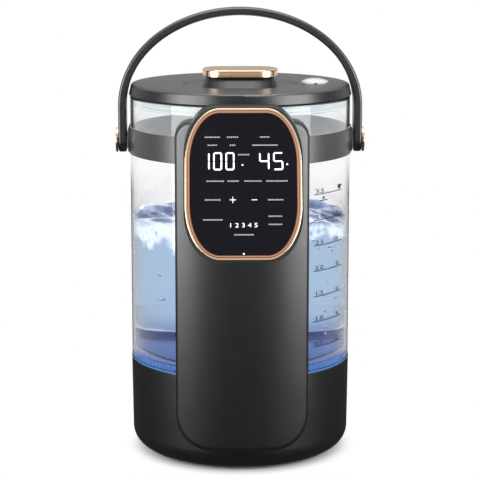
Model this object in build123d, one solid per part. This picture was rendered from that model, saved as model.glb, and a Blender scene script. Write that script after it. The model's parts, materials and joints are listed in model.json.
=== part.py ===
from build123d import *
import math
import os

# Electric thermo pot: a glass tank on a heated base, a riser column with an overhanging head and
# spout in front, a folding bail handle on a collar, and a lift-out lid with a knob.
# Millimetres. The origin is on the tank's axis, in the plane that the rubber foot stands on.
# +Z is up, and the column and the spout face -Y.

# ---------------------------------------------------------------- driving dimensions
# Tank
glass_radius = 90.0
glass_wall = 2.2
glass_height = 214.8
glass_lip_round = 0.8
tank_seal_thickness = 1.2
tank_seal_wall = 1.4
tank_seal_height = 5.0
tank_floor_sheet = 0.8
tank_floor_rim = 7.0
tank_floor_round = 1.6

# Base
foot_drop = 1.5
base_height = 76.3
base_proud = 0.4
base_draft = 1.0
base_wall = 2.8
base_foot_round = 16.0
base_top_round = 0.5
base_lip = 2.5
base_lip_width = 2.4
base_ledge_width = 9.0
base_ledge_thickness = 2.6
cover_gap = 0.3
foot_inset = 28.0
foot_width = 8.0
foot_groove = 1.0
base_screw_inset = 24.0
base_screw_count = 4
base_screw_start = 15.0
base_boss_radius = 4.0
base_boss_height = 12.0
base_screw_margin = 4.0
rib_width = 2.0
air_slot_length = 26.0
air_slot_width = 3.0
air_slot_pitch = 7.0
air_slot_count = 7

# Screws
screw_radius = 1.5
screw_head_radius = 3.0
screw_head_height = 1.2
screw_head_gap = 0.2

# Heating
spreader_inset = 38.0
spreader_thickness = 4.0
element_inset = 50.0
element_width = 8.0
element_height = 5.0
element_gap_angle = 40.0
terminal_radius = 1.6
terminal_length = 9.0
cutout_radius = 8.0
cutout_height = 5.0
cutout_inset = 18.0
cutout_angle = 39.5
sensor_radius = 2.5
sensor_flange_radius = 5.0
sensor_flange_height = 3.0
sensor_rise = 4.0
sensor_inset = 14.7
sensor_angle = -18.4

# Pump and hoses
outlet_inset = 32.0
outlet_angle = 234.1
spigot_radius = 4.0
spigot_bore = 2.8
spigot_length = 10.0
strainer_radius = 9.0
strainer_height = 4.5
strainer_wall = 0.9
strainer_hole_radius = 1.2
strainer_hole_count = 8
strainer_hole_share = 0.62
pump_motor_radius = 12.0
pump_motor_height = 27.0
pump_volute_radius = 15.0
pump_volute_height = 12.0
pump_round = 2.0
pump_outlet_reach = 23.0
hose_bore_radius = 2.8
hose_wall = 1.2
riser_bend = 11.0
riser_crossing_rise = 25.6

# Circuit board
board_x = 13.0
board_y = 12.0
board_extra_length = 5.0
board_missing_width = 15.0
board_thickness = 1.6
board_post_height = 9.0
board_post_radius = 3.5
board_screw_inset = 5.0
transformer_size = 24.0
transformer_height = 19.0
relay_length = 19.0
relay_width = 15.0
relay_height = 15.0
capacitor_radius = 5.0
capacitor_height = 14.0
capacitor_count = 3
capacitor_pitch = 12.0

# Mains inlet, at the rear
inlet_height = 38.0
inlet_cavity_width = 24.0
inlet_cavity_height = 17.0
inlet_cavity_depth = 15.0
inlet_wall = 2.0
inlet_rim = 3.0
inlet_rim_thickness = 1.6
pin_width = 2.0
pin_height = 4.0
pin_length = 13.0
pin_spacing = 14.0
pin_row_height = 2.5
pin_offset = 4.0

# Collar and handle pivots
collar_drop = 24.2
collar_height = 21.4
collar_thickness = 1.2
collar_round = 0.4
pivot_boss_radius = 10.0
pivot_boss_proud = 0.5
washer_thickness = 0.7
washer_radius = 7.0
pivot_gap = 0.3
pivot_drop = 12.0
pivot_pin_radius = 3.0
pivot_running_gap = 0.05
pivot_pin_seat = 1.0

# Handle
handle_thickness = 6.8
handle_top_thickness = 6.1
handle_rise = 79.3
handle_leg = 28.6
handle_ear_radius = 10.0
handle_top_width = 17.0
handle_edge_round = 1.8
pivot_cap_thickness = 1.9
pivot_cap_round = 0.6

# Lid
lid_gap = 0.3
lid_height = 9.9
lid_overhang = 0.8
lid_draft = 1.9
lid_tuck = 1.2
lid_tuck_height = 1.6
lid_wall = 2.3
lid_fit_gap = 0.15
lid_edge_round = 1.8
lid_rim_width = 42.8
lid_dish_depth = 2.0
lid_dish_slope = 3.0
plug_clearance = 1.0
plug_depth = 8.0
plug_wall = 2.0
plug_flange_thickness = 1.8
lid_seal_height = 3.6
lid_seal_depth = 1.4
lid_seal_clearance = 0.35
lid_seal_offset = 2.0
lid_screw_inset = 24.0
lid_screw_count = 4
lid_post_radius = 4.0
lid_screw_bite = 5.0

# Knob
knob_length = 61.4
knob_width = 39.0
knob_round = 17.0
knob_cap_thickness = 5.6
knob_cap_round = 1.4
knob_height = 14.0
neck_top_length = 55.0
neck_top_width = 33.0
neck_foot_length = 61.0
neck_foot_width = 47.0
neck_round = 15.0
neck_foot_round = 21.0
knob_screw_radius = 2.5
knob_screw_head_radius = 5.0
knob_screw_head_height = 3.0
knob_screw_reach = 6.0

# Steam vent
vent_inset = 29.6
vent_radius = 10.9
vent_height = 4.0
vent_rim_height = 1.6
vent_wall = 1.2
vent_slot_count = 6
vent_slot_width = 2.0
vent_tube_radius = 4.5
vent_tube_bore = 2.8

# Column
column_half_width = 52.5
column_depth = 14.0
column_bulge = 12.0
column_edge_round = 5.0
column_bottom = 21.0
column_top_drop = 8.3
column_foot_round = 28.0
column_shoulder_round = 15.5
column_wall = 2.5
column_gap = 0.5
column_back_thickness = 1.5
column_back_rise = 3.0
column_side_gap = 0.2
column_boss_radius = 4.0
column_screw_height = 56.0
column_screw_spacing = 36.0
column_screw_gap = 1.6
passage_width = 76.0
passage_drop = 41.6
passage_height = 62.0

# Head
head_tilt = 21.0
head_overhang = 31.2
head_center_drop = 52.2
head_width = 90.4
head_height = 119.0
head_corner_width = 24.5
head_corner_height = 39.0
head_wall = 2.5
head_ledge_width = 9.0
head_ledge_thickness = 2.0
lid_clearance = 1.4

# Touch panel
bezel_inset = 1.0
bezel_width = 3.8
bezel_thickness = 1.9
bezel_round = 0.5
bezel_groove_inset = 1.5
bezel_groove_width = 0.6
bezel_groove_depth = 0.6
lens_gap = 0.1
lens_thickness = 1.3
display_board_width = 60.0
display_board_height = 43.0
display_board_rise = 8.0
display_board_thickness = 1.6
display_post_length = 4.0
display_post_radius = 2.5
display_post_inset = 0.8
display_block_height = 3.0

# Spout
nozzle_setback = 4.2
nozzle_radius = 6.5
nozzle_bore = 4.0
nozzle_drop = 3.5
nozzle_flange_radius = 9.0
nozzle_flange_thickness = 2.0
nozzle_round = 1.2
nozzle_spigot_length = 9.0
nozzle_spigot_bore = 2.0

# ---------------------------------------------------------------- derived places
glass_inner = glass_radius - glass_wall
base_top = foot_drop + base_height
glass_bottom = base_top + tank_seal_thickness
glass_top = glass_bottom + glass_height
base_top_radius = glass_radius + base_proud
base_foot_radius = base_top_radius - base_draft
cover_top = foot_drop + base_lip
opening_radius = base_foot_radius - base_foot_round - base_lip_width
foot_radius = glass_radius - foot_inset
base_screw_circle = glass_radius - base_screw_inset
spreader_radius = glass_radius - spreader_inset
element_radius = glass_radius - element_inset
cutout_x = (element_radius - cutout_inset) * math.cos(math.radians(cutout_angle))
cutout_y = (element_radius - cutout_inset) * math.sin(math.radians(cutout_angle))
sensor_x = (element_radius - sensor_inset) * math.cos(math.radians(sensor_angle))
sensor_y = (element_radius - sensor_inset) * math.sin(math.radians(sensor_angle))
outlet_x = (glass_radius - outlet_inset) * math.cos(math.radians(outlet_angle))
outlet_y = (glass_radius - outlet_inset) * math.sin(math.radians(outlet_angle))
board_length = opening_radius + board_extra_length
board_width = opening_radius - board_missing_width
spreader_bottom = base_top - spreader_thickness
collar_radius = glass_radius + collar_thickness
collar_top = glass_top - collar_drop
collar_bottom = collar_top - collar_height
pivot_height = collar_top - pivot_drop
pivot_boss_face = collar_radius + pivot_boss_proud
washer_face = pivot_boss_face + washer_thickness
handle_inner = washer_face + pivot_gap
handle_outer = handle_inner + handle_thickness
pivot_cap_face = handle_outer + pivot_gap
handle_spring = pivot_height + handle_leg
handle_top = handle_spring + handle_rise
lid_radius = glass_radius + lid_overhang
lid_top_radius = lid_radius - lid_draft
lid_dish_radius = lid_radius - lid_rim_width
lid_screw_circle = glass_radius - lid_screw_inset
vent_x = lid_radius - vent_inset
lid_bottom = glass_top + lid_gap
lid_top = lid_bottom + lid_height
dish_floor = lid_top - lid_dish_depth
lid_underside = dish_floor - lid_wall
knob_top = dish_floor + knob_height
knob_cap_bottom = knob_top - knob_cap_thickness
plug_radius = glass_inner - plug_clearance
plug_bottom = lid_bottom - plug_depth
column_front = glass_radius + column_depth
column_top = glass_top - column_top_drop
column_back_radius = collar_radius + column_back_thickness
column_clear_radius = collar_radius + column_gap
head_reach = column_front + head_overhang
head_center_height = glass_top - head_center_drop
nozzle_reach = head_reach - nozzle_setback
passage_bottom = head_center_height - passage_drop
hose_radius = hose_bore_radius + hose_wall
column_curve = (column_half_width ** 2 + column_bulge ** 2) / (2 * column_bulge)
riser_front = column_front - column_wall - column_curve + math.sqrt(column_curve ** 2 - outlet_x ** 2)
riser_back = math.sqrt(column_back_radius ** 2 - outlet_x ** 2)
riser_depth = (riser_front + riser_back) / 2
pump_outlet_height = cover_top + pump_motor_height + pump_volute_height / 2
board_bottom = cover_top + board_post_height

front = Vector(0, -math.cos(math.radians(head_tilt)), math.sin(math.radians(head_tilt)))
face_plane = Plane(origin=(0, -head_reach, head_center_height), x_dir=(1, 0, 0), z_dir=front)


# ---------------------------------------------------------------- shape helpers
def disc(radius, low, high):
    """Upright round bar between two heights."""
    return Pos(0, 0, low) * Cylinder(radius, high - low, align=(Align.CENTER, Align.CENTER, Align.MIN))


def ring(outer, inner, low, high):
    """Upright ring between two heights."""
    return disc(outer, low, high) - disc(inner, low - 1, high + 1)


def turned(*points):
    """Solid of revolution about Z from (radius, height) points."""
    outline = Polyline(*[(radius, 0, height) for radius, height in points], close=True)
    return revolve(make_face(outline), Axis.Z)


def bar_x(radius, start, end, height):
    """Round bar along X through the pivot line at a height."""
    bar = Cylinder(radius, end - start, align=(Align.CENTER, Align.CENTER, Align.MIN))
    return Pos(start, 0, height) * Rot(0, 90, 0) * bar


def block(x, y, z, length, width, height):
    """Box that stands on a height, centred on x and y."""
    return Pos(x, y, z) * Box(length, width, height, align=(Align.CENTER, Align.CENTER, Align.MIN))


def around(count, radius, start=0.0):
    """Places on a circle, as (x, y) pairs."""
    angles = [math.radians(start + 360 * i / count) for i in range(count)]
    return [(radius * math.cos(a), radius * math.sin(a)) for a in angles]


def circles_at(shape, height, tolerance=0.01):
    """Round edges of a turned shape that lie at a height."""
    edges = shape.edges().filter_by(GeomType.CIRCLE)
    return edges.filter_by(lambda e: abs(e.center().Z - height) < tolerance and e.is_closed)


def widest(edges):
    """The edge of largest radius."""
    return sorted(edges, key=lambda e: e.radius)[-1]


def both_sides(shape):
    """A piece and its mirror image across the YZ plane, as one group."""
    return Compound(children=[shape, mirror(shape, about=Plane.YZ)])


def screw(x, y, head_low, reach, head_up=False):
    """Screw along Z: head from head_low, shank for reach beyond it, downward when head_up."""
    head = Pos(x, y, 0) * disc(screw_head_radius, head_low, head_low + screw_head_height)
    if head_up:
        shank = Pos(x, y, 0) * disc(screw_radius, head_low - reach, head_low)
    else:
        shank = Pos(x, y, 0) * disc(screw_radius, head_low + screw_head_height,
                                    head_low + screw_head_height + reach)
    return head + shank


# ---------------------------------------------------------------- base
def base_form(extra=0.0):
    """Outer form of the base, a slightly drafted cylinder with a rounded foot edge."""
    form = turned((0, foot_drop), (base_foot_radius + extra, foot_drop),
                  (base_top_radius + extra, base_top), (0, base_top))
    return fillet(widest(circles_at(form, foot_drop)), base_foot_round)


def base_cavity():
    """Space inside the base, under the tank's ledge."""
    ledge_bottom = base_top - base_ledge_thickness
    cavity = turned((0, cover_top), (base_foot_radius - base_wall, cover_top),
                    (base_top_radius - base_wall, ledge_bottom), (0, ledge_bottom))
    return fillet(widest(circles_at(cavity, cover_top)), base_foot_round - base_wall)


def base_ribs(form):
    """Screw bosses inside the foot, each tied to the wall by a rib."""
    ribs = []
    rib_length = base_foot_radius - base_screw_circle
    for i, (x, y) in enumerate(around(base_screw_count, base_screw_circle, base_screw_start)):
        boss = Pos(x, y, 0) * disc(base_boss_radius, cover_top, cover_top + base_boss_height)
        rib = block(base_screw_circle + rib_length / 2, 0, cover_top + base_boss_height / 3,
                    rib_length, rib_width, base_boss_height * 2 / 3)
        angle = base_screw_start + 360 * i / base_screw_count
        ribs.append(boss + (Rot(0, 0, angle) * rib & form))
    return ribs


def column_screw_places():
    """X of each screw that holds the column to the base."""
    return (-column_screw_spacing / 2, column_screw_spacing / 2)


def inlet_body_size():
    """Outer width and height of the inlet's housing."""
    return (inlet_cavity_width + 2 * inlet_wall, inlet_cavity_height + 2 * inlet_wall)


def front_bar(radius, x, height, near, far):
    """Round bar along Y in front of the axis, from near to far."""
    bar = Cylinder(radius, far - near, align=(Align.CENTER, Align.CENTER, Align.MIN))
    return Pos(x, -near, height) * Rot(90, 0, 0) * bar


def make_base_shell():
    form = base_form()
    form = fillet(widest(circles_at(form, base_top)), base_top_round)
    shell = form - base_cavity()
    shell -= disc(base_top_radius - base_ledge_width, base_top - 2 * base_ledge_thickness, base_top + 1)
    shell -= disc(opening_radius, 0, cover_top + 0.5)
    for rib in base_ribs(form):
        shell += rib
    for x, y in around(base_screw_count, base_screw_circle, base_screw_start):
        shell -= Pos(x, y, 0) * disc(screw_radius, cover_top - 1, cover_top + base_boss_height - 2)
    width, height = inlet_body_size()
    shell -= Pos(0, glass_radius, inlet_height) * Box(width, 4 * base_wall + inlet_rim, height)
    shell -= front_bar(hose_radius + 1, outlet_x, pump_outlet_height, glass_radius / 2, glass_radius + 5)
    for x in column_screw_places():
        shell -= front_bar(screw_radius, x, column_screw_height, glass_radius / 2, glass_radius + 5)
    return shell


def make_bottom_cover():
    cover = disc(opening_radius - cover_gap, foot_drop, cover_top)
    cover -= ring(foot_radius, foot_radius - foot_width, foot_drop - 1, foot_drop + foot_groove)
    for x, y in around(base_screw_count, base_screw_circle, base_screw_start):
        cover -= Pos(x, y, 0) * disc(screw_head_radius + screw_head_gap, 0, foot_drop + screw_head_height)
        cover -= Pos(x, y, 0) * disc(screw_radius, 0, cover_top + 1)
    slot = SlotOverall(air_slot_length, air_slot_width, rotation=90)
    for i in range(air_slot_count):
        x = (i - (air_slot_count - 1) / 2) * air_slot_pitch
        cover -= Pos(x, 0, 0) * extrude(slot, cover_top + 1)
    for x, y in board_screw_places():
        cover += Pos(x, y, 0) * disc(board_post_radius, cover_top - base_lip / 2, board_bottom)
        cover -= Pos(x, y, 0) * disc(screw_radius, cover_top, board_bottom + 1)
    return cover


def make_foot_ring():
    foot = ring(foot_radius, foot_radius - foot_width, 0, foot_drop + foot_groove)
    return chamfer(circles_at(foot, 0), foot_drop / 3)


def make_bottom_screws():
    head_low = foot_drop
    reach = base_boss_height + base_lip - screw_head_height - base_screw_margin
    places = around(base_screw_count, base_screw_circle, base_screw_start)
    return Compound(children=[screw(x, y, head_low, reach) for x, y in places])


# ---------------------------------------------------------------- tank floor and heating
def floor_openings(low, high):
    """Bars through the floor where the outlet and the sensor pass."""
    outlet = Pos(outlet_x, outlet_y, 0) * disc(spigot_radius, low, high)
    sensor = Pos(sensor_x, sensor_y, 0) * disc(sensor_radius, low, high)
    return outlet + sensor


def make_tank_floor():
    outer = tank_floor_radius()
    pan = disc(outer, base_top, base_top + tank_floor_rim)
    pan = fillet(circles_at(pan, base_top), tank_floor_round + tank_floor_sheet)
    hollow = disc(outer - tank_floor_sheet, base_top + tank_floor_sheet, base_top + tank_floor_rim + 1)
    hollow = fillet(circles_at(hollow, base_top + tank_floor_sheet), tank_floor_round)
    return pan - hollow - floor_openings(base_top - 1, base_top + tank_floor_rim)


def tank_floor_radius():
    """Radius of the tank floor, inside its seal."""
    return glass_inner - tank_seal_wall


def make_tank_seal():
    inner = tank_floor_radius()
    top = glass_bottom + tank_seal_height
    flange = ring(glass_radius, inner, base_top, glass_bottom)
    return flange + ring(glass_inner, inner, glass_bottom, top)


def make_glass_tank():
    tube = ring(glass_radius, glass_inner, glass_bottom, glass_top)
    return fillet(circles_at(tube, glass_top), glass_lip_round)


def make_heat_spreader():
    plate = disc(spreader_radius, spreader_bottom, base_top)
    return plate - floor_openings(spreader_bottom - 1, base_top + 1)


def make_heating_element():
    low = spreader_bottom - element_height
    element = ring(element_radius + element_width / 2, element_radius - element_width / 2,
                   low, spreader_bottom)
    half_gap = math.radians(element_gap_angle / 2)
    reach = 2 * element_radius
    wedge = Polyline((0, 0), (-reach * math.sin(half_gap), reach * math.cos(half_gap)),
                     (reach * math.sin(half_gap), reach * math.cos(half_gap)), close=True)
    element -= Pos(0, 0, low - 1) * extrude(make_face(wedge), element_height + 2)
    end = half_gap + element_width / element_radius / 2
    for side in (-1, 1):
        x = side * element_radius * math.sin(end)
        y = element_radius * math.cos(end)
        element += Pos(x, y, 0) * disc(terminal_radius, low - terminal_length, low)
    return element


def make_thermal_cutouts():
    low = spreader_bottom - cutout_height
    cutout = disc(cutout_radius, low, spreader_bottom)
    cutout += block(0, 0, low - cutout_height / 2, cutout_radius, cutout_radius * 1.4, cutout_height / 2)
    return both_sides(Pos(cutout_x, cutout_y, 0) * cutout)


def make_temperature_sensor():
    flange = disc(sensor_flange_radius, spreader_bottom - sensor_flange_height, spreader_bottom)
    probe = disc(sensor_radius, spreader_bottom, base_top + tank_floor_sheet + sensor_rise)
    probe = fillet(circles_at(probe, base_top + tank_floor_sheet + sensor_rise), sensor_radius / 2)
    return Pos(sensor_x, sensor_y, 0) * (flange + probe)


# ---------------------------------------------------------------- water path
def make_outlet_strainer():
    low = base_top + tank_floor_sheet
    cap = disc(strainer_radius, low, low + strainer_height)
    cap = fillet(circles_at(cap, low + strainer_height), strainer_height / 3)
    cap -= disc(strainer_radius - strainer_wall, low + strainer_wall, low + strainer_height - strainer_wall)
    cap += disc(spigot_radius, base_top - spigot_length, low + strainer_wall / 2)
    cap -= disc(spigot_bore, base_top - spigot_length - 1, low + strainer_wall + 0.5)
    for x, y in around(strainer_hole_count, strainer_radius * strainer_hole_share):
        cap -= Pos(x, y, 0) * disc(strainer_hole_radius, low + strainer_height / 2, low + strainer_height + 1)
    return Pos(outlet_x, outlet_y, 0) * cap


def make_water_pump():
    motor_top = cover_top + pump_motor_height
    volute_top = motor_top + pump_volute_height
    pump = disc(pump_motor_radius, cover_top, motor_top)
    pump += fillet(circles_at(disc(pump_volute_radius, motor_top, volute_top), volute_top), pump_round)
    pump += disc(spigot_radius, volute_top, volute_top + spigot_length)
    pump += front_bar(hose_bore_radius, 0, pump_outlet_height, pump_volute_radius / 2, pump_outlet_reach)
    return Pos(outlet_x, outlet_y, 0) * pump


def make_pump_inlet_hose():
    low = cover_top + pump_motor_height + pump_volute_height
    sleeve = ring(spigot_radius + hose_wall, spigot_radius, low, spreader_bottom)
    return Pos(outlet_x, outlet_y, 0) * sleeve


def riser_route():
    """Centre line from the pump's outlet, up inside the column, into the head and down."""
    start = -outlet_y + pump_volute_radius
    crossing = head_floor_top() + riser_crossing_rise
    points = [(outlet_x, -start, pump_outlet_height),
              (outlet_x, -riser_depth, pump_outlet_height),
              (outlet_x, -riser_depth, crossing),
              (0, -nozzle_reach, crossing),
              (0, -nozzle_reach, nozzle_flange_top())]
    return FilletPolyline(*points, radius=riser_bend)


def make_riser_hose():
    route = riser_route()
    mouth = Plane(origin=route @ 0, z_dir=route % 0)
    outer = sweep(mouth * Circle(hose_radius), path=route)
    bore = sweep(mouth * Circle(hose_bore_radius), path=route)
    return outer - bore


# ---------------------------------------------------------------- circuit board
def board_screw_places():
    half_x = board_length / 2 - board_screw_inset
    half_y = board_width / 2 - board_screw_inset
    return [(board_x + sx * half_x, board_y + sy * half_y) for sx in (-1, 1) for sy in (-1, 1)]


def make_power_board():
    board = block(board_x, board_y, board_bottom, board_length, board_width, board_thickness)
    for x, y in board_screw_places():
        board -= Pos(x, y, 0) * disc(screw_radius, board_bottom - 1, board_bottom + board_thickness + 1)
    return board


def make_power_components():
    top = board_bottom + board_thickness
    transformer = block(board_x - board_length / 4, board_y, top,
                        transformer_size, transformer_size, transformer_height)
    relay = block(board_x + board_length / 4, board_y + board_width / 5, top,
                  relay_length, relay_width, relay_height)
    pieces = [transformer, relay]
    for i in range(capacitor_count):
        x = board_x + board_length / 8 + i * capacitor_pitch
        pieces.append(Pos(x, board_y - board_width / 4, 0) * disc(capacitor_radius, top, top + capacitor_height))
    return Compound(children=pieces)


def make_board_screws():
    head_low = board_bottom + board_thickness
    reach = board_thickness + board_post_height - 1
    places = board_screw_places()
    return Compound(children=[screw(x, y, head_low, reach, head_up=True) for x, y in places])


# ---------------------------------------------------------------- mains inlet
def make_mains_inlet():
    """Three-pin appliance inlet: a recessed socket in the base's rear wall."""
    width, height = inlet_body_size()
    mouth = base_foot_radius - inlet_rim_thickness
    depth = inlet_cavity_depth + inlet_wall
    housing = Pos(0, mouth - depth / 2, inlet_height) * Box(width, depth, height)
    flange_back = mouth - base_wall - 2 * inlet_rim_thickness
    flange = Pos(0, flange_back - inlet_rim_thickness / 2, inlet_height) * Box(
        width + 2 * inlet_rim, inlet_rim_thickness, height + 2 * inlet_rim)
    cavity = Pos(0, mouth - inlet_cavity_depth / 2, inlet_height) * Box(
        inlet_cavity_width, inlet_cavity_depth, inlet_cavity_height)
    corners = cavity.edges().filter_by(Axis.Y).sort_by(Axis.Z)[:2]
    return housing + flange - chamfer(corners, inlet_cavity_height / 4)


def make_inlet_pins():
    floor = base_foot_radius - inlet_rim_thickness - inlet_cavity_depth
    pins = []
    for x, z in ((-pin_spacing / 2, pin_row_height), (pin_spacing / 2, pin_row_height),
                 (0, pin_row_height - pin_offset)):
        blade = Pos(x, floor + pin_length / 2, inlet_height + z) * Box(pin_width, pin_length, pin_height)
        tip = blade.faces().sort_by(Axis.Y)[-1]
        pins.append(chamfer(tip.edges(), pin_width / 4))
    return Compound(children=pins)


# ---------------------------------------------------------------- collar and pivots
def make_collar_band():
    band = disc(collar_radius, collar_bottom, collar_top)
    band = fillet(circles_at(band, collar_bottom) + circles_at(band, collar_top), collar_round)
    for side in (-1, 1):
        start = min(0, side * pivot_boss_face)
        band += bar_x(pivot_boss_radius, start, start + pivot_boss_face, pivot_height)
    band -= disc(glass_radius, 0, lid_top)
    return band - bar_x(pivot_pin_radius, -handle_outer, handle_outer, pivot_height)


def make_pivot_washers():
    washer = bar_x(washer_radius, pivot_boss_face, washer_face, pivot_height)
    return both_sides(washer - bar_x(pivot_pin_radius, 0, handle_outer, pivot_height))


def make_pivot_pins():
    """Pins through the bosses, washers and bail, with their ends pressed into the caps."""
    return both_sides(bar_x(pivot_pin_radius, glass_radius + pivot_gap, pivot_cap_face + pivot_pin_seat,
                            pivot_height))


# ---------------------------------------------------------------- handle
def arch_outline(half_width, rise):
    """Front outline of the bail: half an ellipse on two straight legs."""
    foot = pivot_height - handle_ear_radius
    arch = EllipticalCenterArc((0, handle_spring), half_width, rise, start_angle=0, arc_size=180)
    legs = Polyline((-half_width, handle_spring), (-half_width, foot), (half_width, foot),
                    (half_width, handle_spring))
    return make_face([arch, legs])


def make_handle_bail():
    inner_rise = handle_rise - handle_top_thickness
    strap = arch_outline(handle_outer, handle_rise) - arch_outline(handle_inner, inner_rise)
    bail = extrude(Plane.XZ * strap, handle_ear_radius + 1, both=True)
    side = Polyline((-handle_ear_radius, pivot_height), (handle_ear_radius, pivot_height),
                    (handle_top_width / 2, handle_top + 1), (-handle_top_width / 2, handle_top + 1),
                    close=True)
    profile = make_face(side) + Pos(0, pivot_height) * Circle(handle_ear_radius)
    bail &= extrude(Plane.YZ * profile, handle_outer + 1, both=True)
    bail = fillet(bail.edges().filter_by(lambda e: e.length > handle_rise), handle_edge_round)
    return bail - bar_x(pivot_pin_radius + pivot_running_gap, -handle_outer - 1, handle_outer + 1,
                        pivot_height)


def make_pivot_caps():
    cap = bar_x(handle_ear_radius, pivot_cap_face, pivot_cap_face + pivot_cap_thickness, pivot_height)
    rim = cap.edges().filter_by(GeomType.CIRCLE).sort_by(Axis.X)[-1]
    cap = fillet(rim, pivot_cap_round)
    return both_sides(cap - bar_x(pivot_pin_radius, 0, pivot_cap_face + pivot_pin_seat, pivot_height))


# ---------------------------------------------------------------- lid
def lid_hollow():
    """Lower and upper radius of the space inside the cover, and the height of its ceiling."""
    return lid_radius - lid_tuck - lid_wall / 2, lid_top_radius - lid_wall, lid_top - lid_wall


def make_lid_cover():
    tuck = lid_bottom + lid_tuck_height
    slope = lid_dish_radius - lid_dish_slope
    cover = turned((0, lid_bottom), (lid_radius - lid_tuck, lid_bottom), (lid_radius, tuck),
                   (lid_top_radius, lid_top), (lid_dish_radius, lid_top), (slope, dish_floor),
                   (0, dish_floor))
    cover = fillet(widest(circles_at(cover, lid_top)), lid_edge_round)
    low_radius, high_radius, ceiling = lid_hollow()
    cover -= turned((0, lid_bottom - 1), (low_radius, lid_bottom - 1), (low_radius, lid_bottom),
                    (high_radius, ceiling), (lid_dish_radius - lid_wall / 2, ceiling),
                    (slope - lid_wall / 2, lid_underside), (0, lid_underside))
    for x, y in around(lid_screw_count, lid_screw_circle, 45):
        cover += Pos(x, y, 0) * disc(lid_post_radius, liner_floor_top(), ceiling)
        cover -= Pos(x, y, 0) * disc(screw_radius, liner_floor_top() - 1, ceiling - 0.5)
    cover -= disc(knob_screw_radius, lid_underside - 1, lid_top)
    return cover - Pos(vent_x, 0, 0) * disc(vent_tube_radius, lid_bottom, lid_top + 1)


def liner_floor_top():
    return plug_bottom + plug_wall


def make_lid_liner():
    low_radius, high_radius, ceiling = lid_hollow()
    share = plug_flange_thickness / (ceiling - lid_bottom)
    flange_radius = low_radius + (high_radius - low_radius) * share - lid_fit_gap
    liner = disc(plug_radius, plug_bottom, lid_bottom)
    liner = fillet(circles_at(liner, plug_bottom), plug_wall / 2)
    liner += disc(flange_radius, lid_bottom, lid_bottom + plug_flange_thickness)
    liner -= disc(plug_radius - plug_wall, liner_floor_top(), lid_top)
    low = plug_bottom + lid_seal_offset
    liner -= ring(glass_radius, plug_radius - lid_seal_depth, low, low + lid_seal_height)
    pillar = disc(knob_screw_head_radius + plug_wall, plug_bottom, lid_underside)
    liner += pillar
    head_top = plug_bottom + knob_screw_head_height
    liner -= disc(knob_screw_head_radius + screw_head_gap, plug_bottom - 1, head_top)
    liner -= disc(knob_screw_radius, plug_bottom - 1, lid_underside + 1)
    for x, y in around(lid_screw_count, lid_screw_circle, 45):
        liner -= Pos(x, y, 0) * disc(screw_radius, plug_bottom - 1, liner_floor_top() + 1)
    return liner - Pos(vent_x, 0, 0) * disc(vent_tube_radius, plug_bottom - 1, lid_top)


def make_lid_seal():
    low = plug_bottom + lid_seal_offset
    inner = plug_radius - lid_seal_depth
    outer = glass_inner - lid_seal_clearance
    middle = low + lid_seal_height / 2
    return turned((inner, low), (plug_radius, low), (outer, middle),
                  (plug_radius, low + lid_seal_height), (inner, low + lid_seal_height))


def make_lid_screws():
    reach = plug_wall + lid_screw_bite
    places = around(lid_screw_count, lid_screw_circle, 45)
    return Compound(children=[screw(x, y, plug_bottom - screw_head_height, reach) for x, y in places])


# ---------------------------------------------------------------- knob
def rounded_plate(length, width, corner):
    return RectangleRounded(length, width, min(corner, 0.49 * width))


def make_knob_neck():
    foot = Pos(0, 0, dish_floor) * rounded_plate(neck_foot_length, neck_foot_width, neck_foot_round)
    top = Pos(0, 0, knob_cap_bottom) * rounded_plate(neck_top_length, neck_top_width, neck_round)
    neck = loft([foot, top])
    return neck - disc(knob_screw_radius, dish_floor - 1, dish_floor + knob_screw_reach)


def make_knob_cap():
    outline = rounded_plate(knob_length, knob_width, knob_round)
    cap = Pos(0, 0, knob_cap_bottom) * extrude(outline, knob_cap_thickness)
    top = cap.faces().sort_by(Axis.Z)[-1]
    return fillet(top.edges(), knob_cap_round)


def make_knob_screw():
    head_top = plug_bottom + knob_screw_head_height
    shank = disc(knob_screw_radius, head_top, dish_floor + knob_screw_reach)
    return disc(knob_screw_head_radius, plug_bottom, head_top) + shank


# ---------------------------------------------------------------- steam vent
def make_steam_vent_cap():
    rim = lid_top + vent_rim_height
    top = lid_top + vent_height
    inner = vent_tube_radius + vent_wall
    crown = TangentArc((0, 0, top), (vent_radius, 0, rim), tangent=(1, 0, 0))
    sides = Polyline((vent_radius, 0, rim), (vent_radius, 0, lid_top), (inner, 0, lid_top),
                     (inner, 0, rim), (0, 0, rim), (0, 0, top))
    cap = revolve(make_face([crown, sides]), Axis.Z)
    slot = block(vent_radius, 0, lid_top - 1, 2 * (vent_radius - inner) + 1, vent_slot_width,
                 1 + vent_rim_height / 2)
    for i in range(vent_slot_count):
        cap -= Rot(0, 0, 360 * (i + 0.5) / vent_slot_count) * slot
    return Pos(vent_x, 0, 0) * cap


def make_steam_valve():
    tube = disc(vent_tube_radius, plug_bottom, lid_top + vent_wall / 2)
    tube -= disc(vent_tube_bore, plug_bottom - 1, lid_top + vent_height)
    return Pos(vent_x, 0, 0) * tube


# ---------------------------------------------------------------- column
def column_block(inset=0.0):
    """Column with sharp edges, or the same form drawn in by a wall."""
    half = column_half_width - inset
    apex = column_front - inset
    edge = apex - column_bulge
    back = Polyline((-half, -edge), (-half, 0), (half, 0), (half, -edge))
    face = make_face([back, ThreePointArc((half, -edge), (0, -apex), (-half, -edge))])
    bar = extrude(Pos(0, 0, column_bottom + inset) * face, column_top - column_bottom - 2 * inset)
    return bar & column_outline(inset)


def column_form():
    """Column's outer form, rounded all round its front face."""
    form = column_block()
    return fillet(form.faces().sort_by(Axis.Y)[0].edges(), column_edge_round)


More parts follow.
